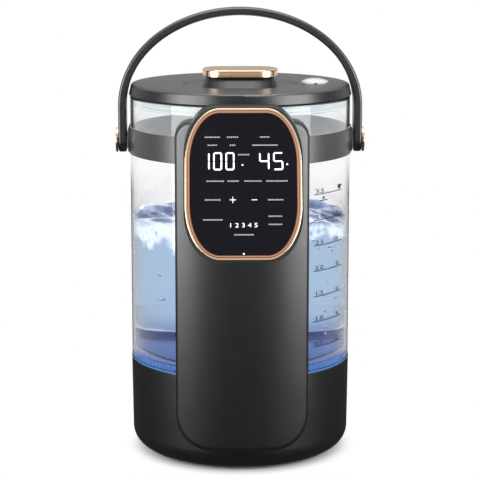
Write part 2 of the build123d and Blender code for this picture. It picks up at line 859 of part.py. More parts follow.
def column_outline(inset):
    """Front outline with rounded feet and shoulders, as a block along Y."""
    half = column_half_width - inset
    low = column_bottom + inset
    high = column_top - inset
    outline = make_face(Polyline((-half, low), (half, low), (half, high), (-half, high), close=True))
    outline = fillet(outline.vertices().sort_by(Axis.Y)[:2], column_foot_round - inset)
    outline = fillet(outline.vertices().sort_by(Axis.Y)[-2:], column_shoulder_round - inset)
    return extrude(Plane.XZ * outline, column_front + 1)


def make_column_shell():
    shell = column_form() - column_block(column_wall)
    passage = block(0, -column_front, passage_bottom, passage_width, 4 * column_bulge + 4 * column_wall,
                    passage_height)
    shell -= passage
    for x in column_screw_places():
        boss = front_bar(column_boss_radius, x, column_screw_height, glass_radius / 2,
                         column_front - column_wall / 2)
        shell += boss & column_form()
    shell -= disc(column_clear_radius, base_top, lid_top + 1)
    shell -= base_form(0.0)
    shell -= ring(column_clear_radius, base_foot_radius / 2, 0, base_top) - column_boss_bars(0.01)
    shell -= disc(base_foot_radius - base_foot_round, 0, base_top)
    for x in column_screw_places():
        shell -= front_bar(screw_radius, x, column_screw_height, glass_radius / 2,
                           column_front - 2 * column_wall)
    return shell


def column_boss_bars(extra):
    bars = [front_bar(column_boss_radius + extra, x, column_screw_height, glass_radius / 2, column_front)
            for x in column_screw_places()]
    return bars[0] + bars[1]


def make_column_back():
    plate = ring(column_back_radius, collar_radius, base_top + column_back_rise, column_top)
    return plate & column_block(column_wall + column_side_gap)


def make_column_screws():
    screws = []
    for x in column_screw_places():
        wall = math.sqrt((base_foot_radius - base_wall) ** 2 - x ** 2)
        seat = wall - column_screw_gap
        head = front_bar(screw_head_radius, x, column_screw_height, seat - screw_head_height, seat)
        shank = front_bar(screw_radius, x, column_screw_height, seat, column_front - 3 * column_wall)
        screws.append(head + shank)
    return Compound(children=screws)


# ---------------------------------------------------------------- head
def squircle(width, height, corner_width, corner_height):
    """Closed outline with straight middles and quarter-ellipse corners."""
    x = width / 2 - corner_width
    y = height / 2 - corner_height
    arcs = []
    for sx, sy, start in ((1, 1, 0), (-1, 1, 90), (-1, -1, 180), (1, -1, 270)):
        arcs.append(EllipticalCenterArc((sx * x, sy * y), corner_width, corner_height,
                                        start_angle=start, arc_size=90))
    sides = [Line(arcs[i] @ 1, arcs[(i + 1) % 4] @ 0) for i in range(4)]
    return make_face(arcs + sides)


def head_outline(inset):
    return squircle(head_width - 2 * inset, head_height - 2 * inset,
                    head_corner_width - inset, head_corner_height - inset)


def bezel_outline(inset):
    """Outline of the trim ring, rounder at its corners than the housing."""
    full = bezel_inset + inset
    return squircle(head_width - 2 * full, head_height - 2 * full,
                    head_corner_width + 2 - inset, head_corner_height + 4 - inset)


def head_bar(outline, near, far):
    """Outline swept straight back, parallel to the ground, between two depths along the face."""
    start = Plane(origin=face_plane.origin + Vector(0, near, 0), x_dir=(1, 0, 0), z_dir=front)
    return extrude(start * outline, far - near, dir=(0, 1, 0))


def make_panel_housing():
    housing = head_bar(head_outline(0), 0, head_reach)
    ledge = head_ledge_thickness / math.cos(math.radians(head_tilt))
    inner = head_bar(head_outline(head_wall), ledge, head_reach)
    inner -= disc(lid_radius + lid_clearance + head_wall, 0, handle_top)
    housing -= inner
    housing -= head_bar(head_outline(head_ledge_width), -1, ledge + 1)
    housing -= column_form()
    housing -= disc(lid_radius + lid_clearance, 0, handle_top)
    housing -= block(0, 0, 0, 2 * head_width, 2 * glass_radius, handle_top)
    housing -= Pos(0, -nozzle_reach, 0) * disc(nozzle_radius, 0, head_floor_top() + 1)
    for x, y in display_post_places():
        post = Circle(display_post_radius)
        back = Plane(origin=face_plane.origin - front * head_ledge_thickness, x_dir=(1, 0, 0),
                     z_dir=-front)
        housing += extrude(back * Pos(x, -y) * post, display_post_length)
    return housing


def head_floor_bottom():
    """Height of the head's underside."""
    return head_center_height - head_height / 2 * math.cos(math.radians(head_tilt))


def head_floor_top():
    return head_floor_bottom() + head_wall * math.cos(math.radians(head_tilt))


def on_face(solid_sketch, low, high):
    """Plate on the tilted face, between two heights along its normal."""
    start = Plane(origin=face_plane.origin + front * low, x_dir=(1, 0, 0), z_dir=front)
    return extrude(start * solid_sketch, high - low)


def make_bezel_ring():
    trim = on_face(bezel_outline(0), 0, bezel_thickness)
    top = trim.faces().sort_by(Axis((0, 0, 0), front))[-1]
    trim = fillet(top.edges(), bezel_round)
    groove = on_face(bezel_outline(bezel_groove_inset) - bezel_outline(bezel_groove_inset + bezel_groove_width),
                     bezel_thickness - bezel_groove_depth, bezel_thickness + 1)
    return trim - groove - on_face(bezel_outline(bezel_width), -1, bezel_thickness + 1)


def make_display_lens():
    return on_face(bezel_outline(bezel_width + lens_gap), 0, lens_thickness)


def display_post_x():
    """Half the distance between the posts, which stand clear of the window's edge."""
    return head_width / 2 - head_ledge_width + display_post_radius + display_post_inset


def display_post_places():
    x = display_post_x()
    return [(sx * x, display_board_rise + sy * display_board_height * 0.3)
            for sx in (-1, 1) for sy in (-1, 1)]


def make_display_board():
    back = -head_ledge_thickness - display_post_length
    width = 2 * display_post_x() + display_post_radius
    board = on_face(Pos(0, display_board_rise) * Rectangle(width, display_board_height),
                    back - display_board_thickness, back)
    digits = on_face(Pos(0, display_board_rise) * Rectangle(display_board_width, display_board_height / 2),
                     back, back + display_block_height)
    return board + digits


# ---------------------------------------------------------------- spout
def nozzle_flange_top():
    return head_floor_top() + nozzle_flange_thickness


def make_spout_nozzle():
    low = head_floor_bottom() - nozzle_drop
    nozzle = disc(nozzle_radius, low, head_floor_top())
    nozzle = fillet(circles_at(nozzle, low), nozzle_round)
    nozzle += disc(nozzle_flange_radius, head_floor_top(), nozzle_flange_top())
    nozzle += disc(hose_bore_radius, nozzle_flange_top(), nozzle_flange_top() + nozzle_spigot_length)
    nozzle -= disc(nozzle_bore, low - 1, head_floor_top())
    nozzle -= disc(nozzle_spigot_bore, low, nozzle_flange_top() + nozzle_spigot_length + 1)
    return Pos(0, -nozzle_reach, 0) * nozzle


# ---------------------------------------------------------------- output
nodes = {
    "base_shell": make_base_shell,
    "bottom_cover": make_bottom_cover,
    "foot_ring": make_foot_ring,
    "bottom_screws": make_bottom_screws,
    "tank_floor": make_tank_floor,
    "tank_seal": make_tank_seal,
    "glass_tank": make_glass_tank,
    "heat_spreader": make_heat_spreader,
    "heating_element": make_heating_element,
    "thermal_cutouts": make_thermal_cutouts,
    "temperature_sensor": make_temperature_sensor,
    "outlet_strainer": make_outlet_strainer,
    "water_pump": make_water_pump,
    "pump_inlet_hose": make_pump_inlet_hose,
    "riser_hose": make_riser_hose,
    "power_board": make_power_board,
    "power_components": make_power_components,
    "board_screws": make_board_screws,
    "mains_inlet": make_mains_inlet,
    "inlet_pins": make_inlet_pins,
    "collar_band": make_collar_band,
    "pivot_washers": make_pivot_washers,
    "pivot_pins": make_pivot_pins,
    "handle_bail": make_handle_bail,
    "pivot_caps": make_pivot_caps,
    "lid_cover": make_lid_cover,
    "lid_liner": make_lid_liner,
    "lid_seal": make_lid_seal,
    "lid_screws": make_lid_screws,
    "knob_neck": make_knob_neck,
    "knob_cap": make_knob_cap,
    "knob_screw": make_knob_screw,
    "steam_vent_cap": make_steam_vent_cap,
    "steam_valve": make_steam_valve,
    "column_shell": make_column_shell,
    "column_back": make_column_back,
    "column_screws": make_column_screws,
    "panel_housing": make_panel_housing,
    "bezel_ring": make_bezel_ring,
    "display_lens": make_display_lens,
    "display_board": make_display_board,
    "spout_nozzle": make_spout_nozzle,
}

os.makedirs("parts", exist_ok=True)
for name, make in nodes.items():
    export_step(make(), f"parts/{name}.step")
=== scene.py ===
"""Electric thermo pot: finishes, water, printed marks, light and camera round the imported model."""
import json
import math
import random

import bmesh
import bpy
from mathutils import Matrix, Vector


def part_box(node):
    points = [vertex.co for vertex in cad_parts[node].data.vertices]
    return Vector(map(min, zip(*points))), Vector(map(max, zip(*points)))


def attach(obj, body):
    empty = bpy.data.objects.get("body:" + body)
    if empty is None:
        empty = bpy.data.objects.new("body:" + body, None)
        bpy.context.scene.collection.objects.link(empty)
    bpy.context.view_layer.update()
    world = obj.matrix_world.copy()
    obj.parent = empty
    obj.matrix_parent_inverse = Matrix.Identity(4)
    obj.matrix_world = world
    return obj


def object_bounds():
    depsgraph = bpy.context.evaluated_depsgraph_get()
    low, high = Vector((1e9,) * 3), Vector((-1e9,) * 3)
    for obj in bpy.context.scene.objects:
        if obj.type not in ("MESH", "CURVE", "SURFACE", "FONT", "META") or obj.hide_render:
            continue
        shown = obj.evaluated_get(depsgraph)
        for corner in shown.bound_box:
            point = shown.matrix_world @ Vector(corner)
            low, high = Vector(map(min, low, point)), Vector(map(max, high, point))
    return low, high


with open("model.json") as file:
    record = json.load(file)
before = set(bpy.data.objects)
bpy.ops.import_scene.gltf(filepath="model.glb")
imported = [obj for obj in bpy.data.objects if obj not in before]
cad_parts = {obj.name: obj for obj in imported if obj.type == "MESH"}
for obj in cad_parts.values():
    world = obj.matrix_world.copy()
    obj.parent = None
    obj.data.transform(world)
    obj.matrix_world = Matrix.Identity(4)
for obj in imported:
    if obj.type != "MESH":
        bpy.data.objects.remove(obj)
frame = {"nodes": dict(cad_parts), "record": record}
nodes = frame["nodes"]
cad_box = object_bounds()

# ---------------------------------------------------------------- tank and water, in metres
# A pair that is named A_TO_B gives the last place of A and the first place of B.
MM = 0.001
GLASS_WALL = 2.2 * MM
# Painted light on a plastic face against the glass ends, and plain plastic begins, this far outside the
# glass
PAINTED_LIGHT_TO_PLASTIC = (0.2 * MM, 0.4 * MM)
MIDDLE_TO_SHADED_RIM = (0.9, 0.97)
WATER_GAP = 0.3 * MM
WATER_BITE = 0.4 * MM
WATER_LEVEL = 196 * MM
WATER_SIDES = 168
SIDE_ROWS = 12
SURFACE_ROWS = 56
WAVE_HEIGHT = 7 * MM
# Heights where the painted shade low in the water fades out
PAINTED_SHADE_TO_PALE = (84 * MM, 104 * MM)
WATER_TO_FROTH = (179 * MM, 189 * MM)
FROTH_TILT = 0.045
FROTH_RAGGED = 50 * MM
BACK_TO_FRONT = (20 * MM, -50 * MM)
BUBBLE_COUNT = 90
BUBBLE_SEED = 4
BUBBLE_RADII = (0.4 * MM, 1.6 * MM)
BUBBLE_REACH = 0.96
BUBBLE_DEPTH = 90 * MM

# ---------------------------------------------------------------- marks on the glass, in metres
INK_LIFT = 0.08 * MM
INK_THICKNESS = 0.06 * MM
SCALE_START = math.radians(39.6)
SCALE_END = math.radians(64)
SCALE_STEPS = 7
SCALE_LINE = 0.65 * MM
LINE_PIECES = 16
LITRE_ZERO = 77.9 * MM
LITRE_STEP = 20.65 * MM
LITRES_PER_STEP = 0.5
CUPS_PER_STEP = 2
FULL_MARK_PLACE = 10.7 * MM
CUP_MARK_PLACE = 4.5 * MM
DIGIT_HEIGHT = 3.4 * MM
DIGIT_TO_TYPE_SIZE = 0.72
JOIN_DISTANCE = 0.0001 * MM
NUMBER_LIFT = 0.9 * MM
NUMBER_WEIGHT = 0.04 * MM
LITRE_INSET = math.radians(0.8)
LITRE_STRETCH = 1.75
CUP_INSET = math.radians(2.5)
CUP_DIGIT_WIDTH = math.radians(3)
CUP_STRETCH = 1.5

# ---------------------------------------------------------------- head, in metres
HEAD_TILT = math.radians(21)
LENS_THICKNESS = 1.3 * MM
PANEL_LIFT = 0.02 * MM
RING_HALF_HEIGHT = 58.5 * MM
RING_CORNER_WIDTH = 26.5 * MM
RING_CORNER_HEIGHT = 43 * MM
# Insets from the ring's outer edge where its painted highlight, painted groove shade and painted edge
# shade begin and end
PAINTED_HIGHLIGHT_TO_GROOVE_SHADE = (1.5 * MM, 1.9 * MM)
STEP_TO_GROOVE_SHADE = (2.6 * MM, 2.2 * MM)
STEP_TO_EDGE_SHADE = (3.1 * MM, 3.6 * MM)

# ---------------------------------------------------------------- touch panel, in millimetres
DISPLAY_ROW = 17.5
DISPLAY_HEIGHT = 13.8
DISPLAY_STROKE = 1.1
# Character, centre and width of each digit
DISPLAY_DIGITS = (("1", -28.7, 6.7), ("0", -19.3, 6.7), ("0", -10.0, 6.7),
                  ("4", 15.9, 7.7), ("5", 26.4, 7.6))
# Side, row and whether it lies level, for each segment of a digit
SEGMENTS = {"a": (0, 1, True), "b": (1, 0.5, False), "c": (1, -0.5, False), "d": (0, -1, True),
            "e": (-1, -0.5, False), "f": (-1, 0.5, False), "g": (0, 0, True)}
LIT_SEGMENTS = {"0": "abcdef", "1": "bc", "4": "bcfg", "5": "acdfg"}
SEGMENT_SHARE = 0.97
KEY_ROW = -12.2
KEY_STROKE = 0.34
PLUS_PLACE = -8.0
PLUS_SIZE = 4.8
MINUS_PLACE = 8.2
MINUS_SIZE = 4.2
# The first place is a glowing painted highlight low on the lens, by the ring; the other two are dots of
# the display
DOT_AND_PAINTED_HIGHLIGHT_PLACES = ((0, -53.4), (-0.6, 14.6), (33.2, 15.1))
DOT_RADIUS = 0.6
DOT_SIDES = 20
DASH_PITCH = 1.5
DASH_WIDTH = 0.9
DASH_HEIGHT = 0.95
# Height of each row, then centre and width of each legend in it
LEGEND_ROWS = ((36.2, ((-23.2, 12.7), (-8.0, 8.9), (16.3, 8.0))),
               (29.95, ((-23.3, 7.4), (-8.0, 4.2), (16.4, 19.9))),
               (22.6, ((0.4, 8.6),)),
               (2.2, ((-21.2, 13.3), (-7.8, 8.6), (7.2, 13.5), (25.3, 16.6))),
               (KEY_ROW, ((-23.2, 11.6), (24.2, 12.7))),
               (-24.8, ((23.8, 10.0),)),
               (-31.0, ((23.8, 10.8),)),
               (-27.5, ((-23.1, 14.9),)),
               (-38.9, ((0.1, 15.6),)))
MODE_NUMBERS = "1 2 3 4 5"
MODE_PLACE = (-11.3, -33.2)
MODE_STRETCH = 1.3
MODE_WEIGHT = -0.05

# ---------------------------------------------------------------- studio, in metres and watts
CAMERA_PLACE = Vector((-28.6, -1558.1, 468.6)) * MM
CAMERA_DIRECTION = Vector((0.018, 0.9824, -0.1862))
CAMERA_LENS = 143.39
CAMERA_SENSOR = 36.0

LAMP_AIM = Vector((0, 0, 0.18))
# Name, place, size and power of each lamp
LAMPS = (("left_softbox", (-0.645, -0.47, 0.31), (0.56, 0.6), 6.3),
         ("right_softbox", (0.645, -0.47, 0.31), (0.56, 0.6), 6.3),
         ("top_softbox", (0, 0.1, 1.5), (1.2, 0.9), 14))

# Light all round, what gloss mirrors of the room by the direction it looks in, and light added for
# surfaces that are seen through glass
ROOM_LIGHT = 0.42
ROOM_GLOSS = 0.02
FRONT_TO_BACK = (0.1, 0.7)
BACK_GLOSS = 0.45
LOW_TO_HIGH = (0.3, 0.55)
UPPER_GLOSS = 0.7
INSIDE_LIGHT = 2.2
MIRROR_LOSS = 0.6

FLOOR_REACH = 6.0
FLOOR_THICKNESS = 1 * MM
FLOOR_GAP = 0.2 * MM
SHADOW_TO_WHITE = (74 * MM, 97 * MM)
FLOOR_GLOSS = 0.05
FAR_FLOOR_GLOSS = 0.9
NEAR_TO_FAR = (1.3, 1.7)

glass_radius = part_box("glass_tank")[1].x
water_radius = glass_radius - GLASS_WALL - WATER_GAP


# ---------------------------------------------------------------- shader expressions
class Field:
    """One shader socket that takes part in Python arithmetic."""

    def __init__(self, network, socket):
        self.network = network
        self.socket = socket

    def combine(self, operation, first, second):
        """Result of one operation on two values."""
        return self.network.node("ShaderNodeMath", {"operation": operation}, [first, second])

    def __add__(self, other):
        return self.combine("ADD", self, other)

    def __radd__(self, other):
        return self.combine("ADD", other, self)

    def __sub__(self, other):
        return self.combine("SUBTRACT", self, other)

    def __rsub__(self, other):
        return self.combine("SUBTRACT", other, self)

    def __mul__(self, other):
        return self.combine("MULTIPLY", self, other)

    def __rmul__(self, other):
        return self.combine("MULTIPLY", other, self)

    def __truediv__(self, other):
        return self.combine("DIVIDE", self, other)

    def __pow__(self, other):
        return self.combine("POWER", self, other)

    def __abs__(self):
        return self.combine("ABSOLUTE", self, 0.0)

    def beyond(self, limit):
        """How far the field is over a limit, or 0."""
        return self.combine("MAXIMUM", self - limit, 0.0)


class Network:
    """A node tree that is written as expressions on fields, with one output."""

    def __init__(self, owner, output_kind):
        owner.use_nodes = True
        self.tree = owner.node_tree
        self.tree.nodes.clear()
        self.output = self.tree.nodes.new(output_kind)

    def node(self, kind, settings=None, inputs=(), output=0):
        """Adds a node with its settings and the values of its sockets, and gives one output."""
        made = self.tree.nodes.new(kind)
        for key, value in (settings or {}).items():
            setattr(made, key, value)
        pairs = inputs.items() if isinstance(inputs, dict) else enumerate(inputs)
        for key, value in pairs:
            self.connect(value, made.inputs[key])
        return Field(self, made.outputs[output])

    def connect(self, value, socket):
        """Links a field to a socket, or sets a constant on it."""
        if isinstance(value, Field):
            self.tree.links.new(value.socket, socket)
        else:
            socket.default_value = value

    def show(self, shader):
        """Makes a shader the one that is seen."""
        self.connect(shader, self.output.inputs["Surface"])

    def mix(self, share, first, second):
        """Shader between two shaders."""
        return self.node("ShaderNodeMixShader", inputs=[share, first, second])

    def between(self, value, low, high):
        """Smooth step from 0 at low to 1 at high."""
        settings = {"interpolation_type": "SMOOTHSTEP"}
        inputs = {"Value": value, "From Min": low, "From Max": high}
        return self.node("ShaderNodeMapRange", settings, inputs)

    def clamped(self, value):
        """The value, kept between 0 and 1."""
        return self.node("ShaderNodeClamp", inputs=[value])

    def component(self, vector, axis):
        """One coordinate of a vector."""
        return self.node("ShaderNodeSeparateXYZ", inputs=[vector], output=axis)

    def ray(self, fact):
        """One fact about the ray that is followed."""
        return self.node("ShaderNodeLightPath", output=fact)

    def white_seen(self):
        """1 for what the camera sees, straight or through glass, and less in a mirroring surface."""
        seen = self.ray("Is Camera Ray") + self.ray("Transmission Depth")
        return self.clamped(seen - self.ray("Glossy Depth") * MIRROR_LOSS)


class Finish(Network):
    """A material with one main surface."""

    def __init__(self, name, **sockets):
        self.material = bpy.data.materials.new(name)
        super().__init__(self.material, "ShaderNodeOutputMaterial")
        self.surface = self.node("ShaderNodeBsdfPrincipled")
        self.show(self.surface)
        for socket, value in sockets.items():
            self.set(socket.replace("_", " "), value)

    def set(self, socket, value):
        """Sets or links one socket of the main surface."""
        self.connect(value, self.surface.socket.node.inputs[socket])

    def place(self):
        """Place in the shared frame, in metres."""
        return self.node("ShaderNodeTexCoord", output="Object")

    def part(self, axis):
        """One coordinate of the place."""
        return self.component(self.place(), axis)

    def reach(self):
        """Distance from the pot's axis."""
        return (self.part("X") ** 2 + self.part("Y") ** 2) ** 0.5

    def stretched(self, scale):
        """Place, multiplied along each axis."""
        return self.node("ShaderNodeVectorMath", {"operation": "MULTIPLY"}, [self.place(), scale])

    def noise(self, scale, detail=2.0, where=None):
        """Cloudy pattern, its scale in features to the metre."""
        inputs = {"Vector": where or self.place(), "Scale": scale, "Detail": detail}
        return self.node("ShaderNodeTexNoise", inputs=inputs)

    def cells(self, scale):
        """Pattern of cells, 0 at the middle of each, its scale in cells to the metre."""
        return self.node("ShaderNodeTexVoronoi", inputs={"Vector": self.place(), "Scale": scale})

    def blend(self, share, first, second):
        """Colour between two colours."""
        return self.node("ShaderNodeMix", {"data_type": "RGBA"}, {0: share, 6: first, 7: second}, output=2)

    def paint(self, share, first, second):
        """Makes the surface's own colour one between two colours."""
        self.set("Base Color", self.blend(share, first, second))

    def gloss(self, pattern, smoothest, spread):
        """Lets the roughness follow a pattern, upwards from its smoothest places."""
        self.set("Roughness", pattern * spread + smoothest)

    def relief(self, height, depth, strength=1.0):
        """Makes a pattern stand out by a depth in metres."""
        inputs = {"Strength": strength, "Distance": depth, "Height": height}
        self.set("Normal", self.node("ShaderNodeBump", inputs=inputs))


def shade(red, green, blue):
    """Colour of a finish."""
    return (red, green, blue, 1.0)


def grey(level):
    """Colour without a hue."""
    return shade(level, level, level)


def toned(colour, share):
    """Colour that is darker with a share under 1 and lighter with one over 1."""
    return shade(colour[0] * share, colour[1] * share, colour[2] * share)


# ---------------------------------------------------------------- finishes
def moulded_plastic(name, colour, roughness, specular=0.3, painted_light_face=None):
    """Moulded plastic: spark-eroded grain, faint flow clouds and slightly uneven gloss.

    A colour of painted light, where given, is painted on the face that grips the glass to make it pale.
    """
    finish = Finish(name, Specular_IOR_Level=specular)
    clouds = finish.noise(22.0, 3.0)
    tone = finish.blend(clouds, toned(colour, 0.85), toned(colour, 1.15))
    # Painted light: the face against the glass is painted pale
    if painted_light_face:
        outside = finish.between(finish.reach() - glass_radius, *PAINTED_LIGHT_TO_PLASTIC)
        tone = finish.blend(outside, painted_light_face, tone)
    finish.set("Base Color", tone)
    finish.gloss(finish.noise(90.0, 4.0), roughness - 0.05, 0.1)
    finish.relief(finish.noise(2600.0), 0.02 * MM)
    return finish.material


def polished_plastic(name, colour):
    """Smooth glossy plastic under a clear coat, with a trace of orange peel."""
    finish = Finish(name, Coat_Roughness=0.04)
    wipes = finish.noise(60.0, 3.0)
    finish.paint(wipes, toned(colour, 0.94), colour)
    finish.gloss(finish.noise(140.0, 3.0), 0.12, 0.08)
    finish.set("Coat Weight", wipes * 0.1 + 0.6)
    finish.relief(finish.noise(300.0, 1.0), 0.004 * MM)
    return finish.material


def plated_metal(name, colour, roughness, streaks=(1.0, 1.0, 1.0)):
    """Metal with fine polishing streaks along one direction."""
    finish = Finish(name, Metallic=1.0)
    lines = finish.noise(900.0, 3.0, finish.stretched(streaks))
    finish.paint(lines, toned(colour, 0.9), colour)
    finish.gloss(lines, roughness - 0.06, 0.12)
    finish.relief(lines, 0.003 * MM)
    return finish.material


def ring_plating_with_painted_light():
    """Rose-gold ring: painted highlight on its outer bead, copper inner step, painted shade in the groove
    and by the lens.
    """
    finish = Finish("ring_plating_with_painted_light", Metallic=1.0)
    low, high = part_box("display_lens")
    centre = (low + high) / 2
    half_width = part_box("bezel_ring")[1].x
    forward = (finish.part("Y") - centre.y) * math.sin(HEAD_TILT)
    upward = (finish.part("Z") - centre.z) * math.cos(HEAD_TILT)
    across = abs(finish.part("X")).beyond(half_width - RING_CORNER_WIDTH)
    along = abs(forward + upward).beyond(RING_HALF_HEIGHT - RING_CORNER_HEIGHT)
    reach = (across ** 2 + along ** 2) ** 0.5
    share = ((across / RING_CORNER_WIDTH) ** 2 + (along / RING_CORNER_HEIGHT) ** 2) ** 0.5
    inset = reach / share - reach
    # The outer bead is a painted highlight; the groove and the edge by the lens carry painted shade
    inner = finish.between(inset, *PAINTED_HIGHLIGHT_TO_GROOVE_SHADE)
    groove = inner * finish.between(inset, *STEP_TO_GROOVE_SHADE)
    edge = finish.between(inset, *STEP_TO_EDGE_SHADE)
    tone = finish.blend(inner, shade(1.0, 0.76, 0.57), shade(0.88, 0.47, 0.26))
    tone = finish.blend(groove, tone, shade(0.5, 0.18, 0.08))
    tone = finish.blend(edge, tone, shade(0.3, 0.12, 0.07))
    polish = finish.noise(400.0, 3.0)
    finish.paint(polish * 0.1, tone, shade(0.9, 0.6, 0.4))
    finish.gloss(polish, 0.12, 0.08)
    finish.relief(polish, 0.003 * MM)
    return finish.material


def pressed_stainless():
    """Bright pressed steel with circular polishing marks about the pot's axis."""
    finish = Finish("pressed_stainless", Metallic=1.0)
    inputs = {"W": finish.reach(), "Scale": 1500.0}
    rings = finish.node("ShaderNodeTexNoise", {"noise_dimensions": "1D"}, inputs)
    finish.paint(rings, shade(0.52, 0.53, 0.55), shade(0.66, 0.67, 0.69))
    finish.gloss(rings, 0.2, 0.15)
    finish.relief(rings, 0.006 * MM)
    return finish.material


def steel_with_painted_blue_light():
    """Blasted steel of the tank's floor, painted with blue light: pale blue in the middle and, with
    painted shade, deep blue at its rim.
    """
    finish = Finish("steel_with_painted_blue_light", Metallic=1.0)
    grain = finish.noise(700.0, 3.0)
    # Painted blue light, pale in the middle, with painted shade that makes it deep blue towards the rim
    rim = finish.between((finish.reach() + grain * MM) / water_radius, *MIDDLE_TO_SHADED_RIM)
    painted_blue_light_and_shade = finish.blend(rim, shade(0.28, 0.46, 0.9), shade(0.01, 0.09, 0.42))
    finish.paint(grain * 0.25, painted_blue_light_and_shade, shade(0.44, 0.54, 0.95))
    finish.gloss(grain, 0.5, 0.1)
    finish.relief(grain, 0.01 * MM)
    return finish.material


def cast_rubber(name, colour, roughness=0.75):
    """Dull elastic material with a powdery bloom."""
    finish = Finish(name, Specular_IOR_Level=0.25)
    bloom = finish.noise(420.0, 4.0)
    finish.paint(bloom, toned(colour, 0.8), toned(colour, 1.2))
    finish.gloss(bloom, roughness - 0.07, 0.15)
    finish.relief(finish.noise(1800.0), 0.03 * MM)
    return finish.material


def milky_silicone(name, colour):
    """Translucent silicone, cloudy in the thickness."""
    finish = Finish(name, Subsurface_Weight=0.3, Specular_IOR_Level=0.35)
    haze = finish.noise(160.0, 3.0)
    finish.paint(haze, toned(colour, 0.8), colour)
    finish.gloss(haze, 0.35, 0.1)
    finish.relief(finish.noise(900.0), 0.01 * MM)
    return finish.material


def circuit_board():
    """Green lacquered laminate with copper tracks under the lacquer."""
    finish = Finish("circuit_board", Coat_Weight=0.4, Coat_Roughness=0.1)
    tracks = finish.between(finish.cells(160.0), 0.42, 0.46)
    weave = finish.noise(1500.0, 1.0)
    finish.paint(tracks, shade(0.02, 0.16, 0.05), shade(0.05, 0.26, 0.09))
    finish.gloss(weave, 0.3, 0.1)
    finish.relief(tracks, 0.035 * MM)
    return finish.material


def clear_tube():
    """Borosilicate tube: clear, with a trace of haze where it has been wiped."""
    finish = Finish("clear_tube", Transmission_Weight=1.0, IOR=1.47)
    wipes = finish.noise(26.0, 4.0, finish.stretched((1.0, 1.0, 0.25)))
    finish.paint(wipes, shade(0.965, 0.975, 0.975), shade(0.985, 0.99, 0.99))
    finish.set("Roughness", finish.between(wipes, 0.55, 0.9) * 0.02)
    return finish.material


def blue_water_with_painted_light():
    """Blue water: painted shade near the floor, froth under its surface and painted light on its moving
    surface.
    """
    finish = Finish("blue_water_with_painted_light", Transmission_Weight=1.0, IOR=1.33, Roughness=0.0, Emission_Strength=1.0)
    height = finish.part("Z")
    # Painted shade: the water is darker blue towards the floor
    pale = finish.between(height, *PAINTED_SHADE_TO_PALE)
    body = finish.blend(pale, shade(0.07, 0.14, 0.36), shade(0.41, 0.57, 0.79))
    curls = finish.noise(44.0, 6.0, finish.stretched((1.0, 1.0, 1.3)))
    edge = height - finish.part("X") * FROTH_TILT + (curls - 0.5) * FROTH_RAGGED
    flecks = finish.between(finish.noise(64.0, 6.0) + finish.cells(170.0) * 0.3, 0.36, 0.62)
    froth = finish.between(edge, *WATER_TO_FROTH) * flecks
    wall = finish.blend(froth, body, shade(0.9, 0.94, 0.98))
    front = finish.between(finish.part("Y"), *BACK_TO_FRONT)
    # Painted highlights make the wave tops white and painted shade makes the hollows between them deep
    # blue
    painted_crest_highlights = finish.between(curls + front * 0.16, 0.5, 0.64)
    surface = finish.blend(painted_crest_highlights, shade(0.05, 0.13, 0.45), shade(0.85, 0.92, 1.0))
    normal = finish.node("ShaderNodeNewGeometry", output="Normal")
    upward = finish.between(finish.component(normal, "Z"), 0.4, 0.8)
    finish.paint(upward, wall, surface)
    # Painted glow: the froth and the painted highlights shine by emission, the highlights more towards the
    # front
    glow = froth * (1 - upward) + painted_crest_highlights * upward * (0.4 + 0.6 * front)
    finish.set("Emission Color", finish.blend(glow, grey(0), shade(0.46, 0.5, 0.54)))
    finish.relief(finish.noise(70.0, 4.0) * froth, 1.0 * MM, 0.1)
    return finish.material


def air_in_water():
    """Thin bright wall between the water and a bubble."""
    finish = Finish("air_in_water", Transmission_Weight=1.0, IOR=0.78)
    film = finish.noise(900.0)
    finish.paint(film, shade(0.9, 0.94, 1.0), grey(1))
    finish.set("Roughness", film * 0.04)
    return finish.material


def dark_glass():
    """Black back-printed touch glass, very smooth."""
    finish = Finish("dark_glass", Specular_IOR_Level=0.12)
    smears = finish.noise(45.0, 4.0)
    finish.paint(smears, shade(0.0035, 0.003, 0.0055), shade(0.006, 0.005, 0.009))
    finish.gloss(smears, 0.06, 0.05)
    return finish.material


def lit_segment():
    """White light behind the panel, a little uneven."""
    finish = Finish("lit_segment", Roughness=0.4, Emission_Strength=0.9)
    colour = finish.blend(finish.noise(500.0), shade(0.86, 0.9, 0.95), grey(1))
    finish.set("Base Color", colour)
    finish.set("Emission Color", colour)
    return finish.material


def printed_ink(name, colour):
    """Screen-printed ink with slightly broken coverage."""
    finish = Finish(name, Specular_IOR_Level=0.3)
    screen = finish.noise(3200.0)
    finish.paint(screen, toned(colour, 0.8), toned(colour, 1.1))
    finish.gloss(screen, 0.5, 0.1)
    return finish.material


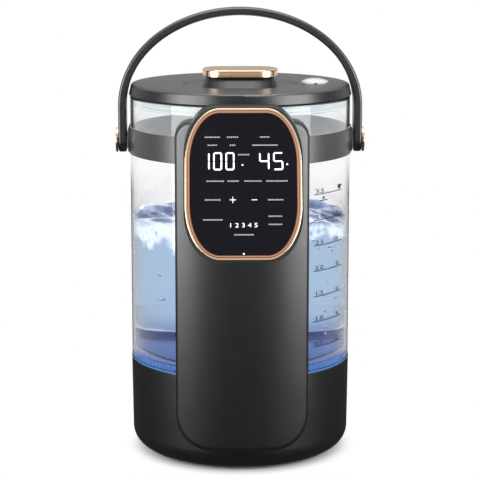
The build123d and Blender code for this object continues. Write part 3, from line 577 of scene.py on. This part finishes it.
# Finish of each material slot in the record
slot_finishes = {
    "dark_plastic": moulded_plastic("dark_plastic", shade(0.0036, 0.0039, 0.0039), 0.35, 1.0),
    "black_plastic": moulded_plastic("black_plastic", shade(0.018, 0.018, 0.019), 0.5),
    "foot_rubber": cast_rubber("foot_rubber", grey(0.02)),
    "screw_steel": plated_metal("screw_steel", grey(0.6), 0.3),
    "stainless": pressed_stainless(),
    "black_silicone": cast_rubber("black_silicone", shade(0.03, 0.03, 0.032), 0.6),
    "clear_silicone": milky_silicone("clear_silicone", shade(0.78, 0.8, 0.8)),
    "clear_glass": clear_tube(),
    "spreader_aluminium": plated_metal("spreader_aluminium", shade(0.72, 0.73, 0.74), 0.35, (1, 0.1, 1)),
    "element_steel": plated_metal("element_steel", shade(0.33, 0.28, 0.24), 0.45),
    "board_green": circuit_board(),
    "component_black": moulded_plastic("component_black", shade(0.02, 0.02, 0.022), 0.55),
    "pin_brass": plated_metal("pin_brass", shade(0.78, 0.6, 0.3), 0.22, (1, 0.08, 1)),
    "white_nylon": moulded_plastic("white_nylon", shade(0.7, 0.7, 0.68), 0.5),
    "rose_gold": plated_metal("rose_gold", shade(0.98, 0.66, 0.41), 0.2, (0.2, 1, 1)),
    "white_gloss": polished_plastic("white_gloss", shade(0.92, 0.93, 0.94)),
    "black_gloss": dark_glass(),
}

# Finish of the nodes that look unlike the rest of their slot
node_finishes = {
    # Painted light: the collar is a lighter copy of the dark plastic, and its face against the glass is
    # painted pale
    "collar_band": moulded_plastic("collar_plastic_painted_lighter", shade(0.02, 0.021, 0.021), 0.35, 1.0,
                                   painted_light_face=shade(0.92, 0.92, 0.91)),
    # The clear seal is painted deep blue: painted shade at the foot of the water
    "tank_seal": milky_silicone("silicone_painted_blue_shade", shade(0.08, 0.2, 0.55)),
    "tank_floor": steel_with_painted_blue_light(),
    "bezel_ring": ring_plating_with_painted_light(),
}


def finish_nodes():
    """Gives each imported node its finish."""
    for entry in frame["record"]["subparts"]:
        node = entry["node"]
        for slot in nodes[node].material_slots:
            slot.material = node_finishes.get(node, slot_finishes[entry["material_slot"]])


# ---------------------------------------------------------------- mesh helpers
def add_piece(name, mesh, material, smooth=False):
    """New piece on the root body."""
    piece = bpy.data.objects.new(name, mesh)
    bpy.context.scene.collection.objects.link(piece)
    mesh.materials.append(material)
    mesh.polygons.foreach_set("use_smooth", [smooth] * len(mesh.polygons))
    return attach(piece, "root")


def turns(count):
    """Angles of a full turn in equal steps."""
    return [2 * math.pi * i / count for i in range(count)]


def finished(shape, name):
    """Mesh of a closed shape, its faces turned outwards."""
    bmesh.ops.recalc_face_normals(shape, faces=shape.faces)
    mesh = bpy.data.meshes.new(name)
    shape.to_mesh(mesh)
    shape.free()
    return mesh


def closed_skin(loops):
    """Closed skin through loops of points, with a fan at each end."""
    skin = bmesh.new()
    rings = [[skin.verts.new(point) for point in loop] for loop in loops]
    count = len(rings[0])
    for lower, upper in zip(rings, rings[1:]):
        for i in range(count):
            j = (i + 1) % count
            skin.faces.new((lower[i], lower[j], upper[j], upper[i]))
    for ring in (rings[0], rings[-1]):
        centre = skin.verts.new(sum((vert.co for vert in ring), Vector()) / count)
        for i in range(count):
            skin.faces.new((ring[i], ring[(i + 1) % count], centre))
    return finished(skin, "skin")


def plates(outlines, thickness):
    """Flat plates from 2-D outlines, as one mesh that lies on its XY plane."""
    sheet = bmesh.new()
    for outline in outlines:
        low = [sheet.verts.new((x, y, 0)) for x, y in outline]
        high = [sheet.verts.new((x, y, thickness)) for x, y in outline]
        sheet.faces.new(high)
        sheet.faces.new(low[::-1])
        for i in range(len(outline)):
            j = (i + 1) % len(outline)
            sheet.faces.new((low[i], low[j], high[j], high[i]))
    return finished(sheet, "plates")


def marks(drawing):
    """Plates as thin as ink, from outlines in millimetres."""
    outlines = [[(x * MM, y * MM) for x, y in outline] for outline in drawing]
    return plates(outlines, INK_THICKNESS)


def bar(x, y, width, height):
    """Rectangle by its centre."""
    corners = ((-1, -1), (1, -1), (1, 1), (-1, 1))
    return [(x + side * width / 2, y + end * height / 2) for side, end in corners]


def dot(x, y):
    """Disc by its centre."""
    return [(x + DOT_RADIUS * math.cos(turn), y + DOT_RADIUS * math.sin(turn))
            for turn in turns(DOT_SIDES)]


def number_mesh(text, stretch, weight):
    """Thin mesh of a number with its left foot at the origin, bolder or, with a weight under 0, finer."""
    curve = bpy.data.curves.new("number", "FONT")
    curve.body = text
    curve.size = DIGIT_HEIGHT / DIGIT_TO_TYPE_SIZE
    curve.offset = weight
    curve.extrude = INK_THICKNESS / 2
    carrier = bpy.data.objects.new("number", curve)
    shape = bmesh.new()
    shape.from_mesh(bpy.data.meshes.new_from_object(carrier))
    bpy.data.objects.remove(carrier)
    # The two caps come as triangles, some of them slivers, which are evened out before points are joined
    caps = [face for face in shape.faces if len(face.verts) == 3]
    inner = [edge for edge in shape.edges if all(len(face.verts) == 3 for face in edge.link_faces)]
    bmesh.ops.beautify_fill(shape, faces=caps, edges=inner)
    bmesh.ops.remove_doubles(shape, verts=shape.verts, dist=JOIN_DISTANCE)
    shape.transform(Matrix.Diagonal((stretch, 1, 1, 1)))
    return finished(shape, "number")


# ---------------------------------------------------------------- water
def wave(x, y):
    """Height of the moving surface over its mean level, in metres."""
    u = x / glass_radius
    v = y / glass_radius
    swell = 0.55 * math.sin(2.6 * u + 1.1) * math.cos(1.9 * v + 0.4)
    chop = 0.3 * math.sin(5.3 * u + 3.1 * v + 0.7) + 0.18 * math.sin(9.0 * v - 6.2 * u)
    crest = 0.35 * (1 - abs(math.sin(3.4 * u - 2.2 * v + 0.9)))
    ripple = 0.14 * math.sin(17.0 * u + 5.0 * math.sin(3.0 * v)) * math.cos(13.0 * v + 4.0 * u)
    return WAVE_HEIGHT * (swell + chop + crest + ripple)


def water_point(radius, angle, base, rise):
    """Point of the water's skin, with a rise of 0 at its base and of 1 at the moving surface."""
    x = radius * math.cos(angle)
    y = radius * math.sin(angle)
    surface = WATER_LEVEL + wave(x, y)
    return x, y, base + (surface - base) * rise


def water_mesh():
    """Water body that wets the tank floor and its seal and ends in a moving surface."""
    floor_low, floor_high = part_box("tank_floor")
    bottom = floor_low.z + WATER_BITE
    dish = floor_high.x - WATER_BITE
    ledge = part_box("tank_seal")[1].z - WATER_BITE
    rows = [(dish / 2, bottom, 0), (dish, bottom, 0), (dish, ledge, 0), (water_radius, ledge, 0)]
    for i in range(SIDE_ROWS):
        rows.append((water_radius, ledge, (i + 1) / SIDE_ROWS))
    for i in range(SURFACE_ROWS):
        rows.append((water_radius * (1 - (i + 1) / (SURFACE_ROWS + 1)), ledge, 1))
    return closed_skin([[water_point(radius, turn, base, rise) for turn in turns(WATER_SIDES)]
                        for radius, base, rise in rows])


def bubble_mesh():
    """Small air bubbles in the outer half of the tank, most of them high up, as closed balls."""
    chance = random.Random(BUBBLE_SEED)
    skin = bmesh.new()
    for _ in range(BUBBLE_COUNT):
        angle = chance.uniform(0, 2 * math.pi)
        reach = water_radius * BUBBLE_REACH * math.sqrt(chance.uniform(0.5, 1.0))
        size = chance.uniform(*BUBBLE_RADII)
        drop = WAVE_HEIGHT + BUBBLE_DEPTH * chance.uniform(0.05, 1.0) ** 2
        place = Vector((reach * math.cos(angle), reach * math.sin(angle), WATER_LEVEL - drop))
        bmesh.ops.create_icosphere(skin, subdivisions=2, radius=size, matrix=Matrix.Translation(place))
    return finished(skin, "bubbles")


def add_water():
    """Water and its bubbles."""
    water = add_piece("water", water_mesh(), blue_water_with_painted_light(), smooth=True)
    bubbles = add_piece("bubbles", bubble_mesh(), air_in_water(), smooth=True)


# ---------------------------------------------------------------- marks on the glass
def on_glass(mesh, start, height):
    """Bends a flat mesh round the tube, its origin at an angle from the front."""
    for vert in mesh.vertices:
        angle = start + vert.co.x / glass_radius
        radius = glass_radius + INK_LIFT + vert.co.z
        vert.co = Vector((radius * math.sin(angle), -radius * math.cos(angle), height + vert.co.y))
    return mesh


def scale_line_mesh():
    """One graduation, divided along its length so that it follows the tube."""
    width = (SCALE_END - SCALE_START) * glass_radius
    half = SCALE_LINE / 2
    section = ((-half, 0), (half, 0), (half, INK_THICKNESS), (-half, INK_THICKNESS))
    places = [width * i / LINE_PIECES for i in range(LINE_PIECES + 1)]
    return closed_skin([[(x, y, z) for y, z in section] for x in places])


def add_scale():
    """Litre lines with their numbers on the left and cup numbers on the right."""
    ink = printed_ink("scale_ink", shade(0.012, 0.013, 0.015))
    for step in range(1, SCALE_STEPS + 1):
        height = LITRE_ZERO + step * LITRE_STEP
        add_piece(f"litre_line_{step}", on_glass(scale_line_mesh(), SCALE_START, height), ink)
        litres = number_mesh(f"{step * LITRES_PER_STEP:.1f}", LITRE_STRETCH, NUMBER_WEIGHT)
        on_glass(litres, SCALE_START + LITRE_INSET, height + NUMBER_LIFT)
        add_piece(f"litre_number_{step}", litres, ink)
        if step < SCALE_STEPS:
            count = str(step * CUPS_PER_STEP)
            cups = number_mesh(count, CUP_STRETCH, NUMBER_WEIGHT)
            on_glass(cups, SCALE_END - CUP_INSET - CUP_DIGIT_WIDTH * len(count), height + NUMBER_LIFT)
            add_piece(f"cup_number_{step}", cups, ink)
    top = LITRE_ZERO + SCALE_STEPS * LITRE_STEP
    triangle = [(-1.7, -4.2), (1.7, -4.2), (0, -1.4)]
    full = marks([triangle, bar(0, -5.4, 9, 0.8)])
    add_piece("full_mark", on_glass(full, SCALE_START + FULL_MARK_PLACE / glass_radius, top), ink)
    bowl = [(-2.2, 1.2), (2.2, 1.2), (3.0, 4.6), (-3.0, 4.6)]
    cup = marks([bowl, bar(4.0, 4.0, 1.4, 0.5), bar(4.5, 3.0, 0.5, 1.6)])
    add_piece("cup_mark", on_glass(cup, SCALE_END - CUP_MARK_PLACE / glass_radius, top), ink)


# ---------------------------------------------------------------- lights behind the touch panel
def segment(x, y, length, level):
    """Six-sided bar of a number display, lying or upright."""
    half = length / 2
    wide = DISPLAY_STROKE / 2
    points = [(-half, 0), (-half + wide, wide), (half - wide, wide),
              (half, 0), (half - wide, -wide), (-half + wide, -wide)]
    if not level:
        points = [(b, a) for a, b in points]
    return [(x + a, y + b) for a, b in points]


def digit(character, x, width):
    """Outlines of one seven-segment digit of the display, by its centre."""
    outlines = []
    half_width = (width - DISPLAY_STROKE) / 2
    half_height = (DISPLAY_HEIGHT - DISPLAY_STROKE) / 2
    for name in LIT_SEGMENTS[character]:
        side, row, level = SEGMENTS[name]
        length = (2 * half_width if level else half_height) * SEGMENT_SHARE
        outlines.append(segment(x + side * half_width, DISPLAY_ROW + row * half_height, length, level))
    return outlines


def dashes(x, y, width):
    """Plain row of short dashes in a legend's place."""
    count = max(2, round(width / DASH_PITCH))
    start = x - (count - 1) * DASH_PITCH / 2
    return [bar(start + i * DASH_PITCH, y, DASH_WIDTH, DASH_HEIGHT) for i in range(count)]


def on_panel(mesh):
    """Lays a flat mesh on the touch glass."""
    low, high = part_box("display_lens")
    normal = Vector((0, -math.cos(HEAD_TILT), math.sin(HEAD_TILT)))
    up = Vector((0, math.sin(HEAD_TILT), math.cos(HEAD_TILT)))
    centre = (low + high) / 2 + normal * (LENS_THICKNESS / 2 + PANEL_LIFT)
    for vert in mesh.vertices:
        vert.co = centre + Vector((1, 0, 0)) * vert.co.x + up * vert.co.y + normal * vert.co.z
    return mesh


def add_panel():
    """Numbers, key signs, plain legends and a glowing painted highlight of the panel."""
    light = lit_segment()
    numbers = []
    for character, x, width in DISPLAY_DIGITS:
        numbers += digit(character, x, width)
    add_piece("panel_numbers", on_panel(marks(numbers)), light)
    plus = [bar(PLUS_PLACE, KEY_ROW, PLUS_SIZE, KEY_STROKE),
            bar(PLUS_PLACE, KEY_ROW, KEY_STROKE, PLUS_SIZE)]
    minus = [bar(MINUS_PLACE, KEY_ROW, MINUS_SIZE, KEY_STROKE)]
    # The lowest disc is a painted highlight
    dots_and_painted_highlight = [dot(x, y) for x, y in DOT_AND_PAINTED_HIGHLIGHT_PLACES]
    add_piece("panel_keys_and_painted_highlight", on_panel(marks(plus + minus + dots_and_painted_highlight)), light)
    legends = []
    for y, row in LEGEND_ROWS:
        for x, width in row:
            legends += dashes(x, y, width)
    add_piece("panel_legends", on_panel(marks(legends)), printed_ink("legend_ink", shade(0.5, 0.5, 0.53)))
    modes = number_mesh(MODE_NUMBERS, MODE_STRETCH, MODE_WEIGHT * MM)
    modes.transform(Matrix.Translation((MODE_PLACE[0] * MM, MODE_PLACE[1] * MM, 0)))
    add_piece("panel_mode_numbers", on_panel(modes), light)


# ---------------------------------------------------------------- studio
def set_world():
    """Dim light all round, white for camera and glass, and a darker room in front for gloss."""
    world = bpy.data.worlds.new("studio")
    bpy.context.scene.world = world
    sky = Network(world, "ShaderNodeOutputWorld")
    direction = sky.node("ShaderNodeTexCoord", output="Generated")
    back = sky.between(sky.component(direction, "Y"), *FRONT_TO_BACK)
    upper = sky.between(sky.component(direction, "Z"), *LOW_TO_HIGH)
    room = back * BACK_GLOSS + upper * UPPER_GLOSS + ROOM_GLOSS
    level = ROOM_LIGHT + sky.ray("Is Glossy Ray") * (room - ROOM_LIGHT)
    seen = sky.white_seen()
    inside = sky.clamped(sky.ray("Diffuse Depth"))
    strength = level + seen * (1 - level) + seen * inside * INSIDE_LIGHT
    sky.show(sky.node("ShaderNodeBackground", inputs={"Color": grey(1), "Strength": strength}))


def floor_finish():
    """Pale floor that keeps the pot's shadow, runs out to white and is mirrored dark near the pot."""
    finish = Finish("pale_floor", Roughness=0.9, Specular_IOR_Level=0.1)
    finish.paint(finish.noise(8.0, 3.0), grey(0.67), grey(0.72))
    near, far, white = [finish.node("ShaderNodeEmission", inputs={"Color": grey(1), "Strength": strength})
                        for strength in (FLOOR_GLOSS, FAR_FLOOR_GLOSS, 1.0)]
    seen = finish.white_seen()
    mirrored = finish.mix(finish.between(finish.reach(), *NEAR_TO_FAR), near, far)
    glow = finish.mix(seen, mirrored, white)
    unshaded = finish.between(finish.reach(), *SHADOW_TO_WHITE) * seen
    share = unshaded + finish.ray("Is Glossy Ray") * (1 - seen)
    finish.show(finish.mix(share, finish.surface, glow))
    return finish.material


def add_floor():
    """Floor just under the foot."""
    mesh = plates([bar(0, 0, 2 * FLOOR_REACH, 2 * FLOOR_REACH)], FLOOR_THICKNESS)
    mesh.materials.append(floor_finish())
    floor = bpy.data.objects.new("floor", mesh)
    bpy.context.scene.collection.objects.link(floor)
    floor.location.z = cad_box[0][2] - FLOOR_GAP - FLOOR_THICKNESS


def add_lamp(name, place, size, power):
    """Soft rectangular lamp that faces the pot's middle."""
    lamp = bpy.data.lights.new(name, "AREA")
    lamp.shape = "RECTANGLE"
    lamp.size = size[0]
    lamp.size_y = size[1]
    lamp.energy = power
    carrier = bpy.data.objects.new(name, lamp)
    bpy.context.scene.collection.objects.link(carrier)
    carrier.location = place
    carrier.visible_transmission = False
    carrier.rotation_euler = (LAMP_AIM - Vector(place)).to_track_quat("-Z", "Y").to_euler()


def add_camera():
    """Camera that looks down a little from in front."""
    lens = bpy.data.cameras.new("camera")
    lens.lens = CAMERA_LENS
    lens.sensor_width = CAMERA_SENSOR
    camera = bpy.data.objects.new("camera", lens)
    bpy.context.scene.collection.objects.link(camera)
    camera.location = CAMERA_PLACE
    camera.rotation_euler = CAMERA_DIRECTION.to_track_quat("-Z", "Y").to_euler()
    bpy.context.scene.camera = camera


# ---------------------------------------------------------------- making
finish_nodes()
add_water()
add_scale()
add_panel()
set_world()
add_floor()
for lamp in LAMPS:
    add_lamp(*lamp)
add_camera()
bpy.context.scene.view_settings.view_transform = "Standard"
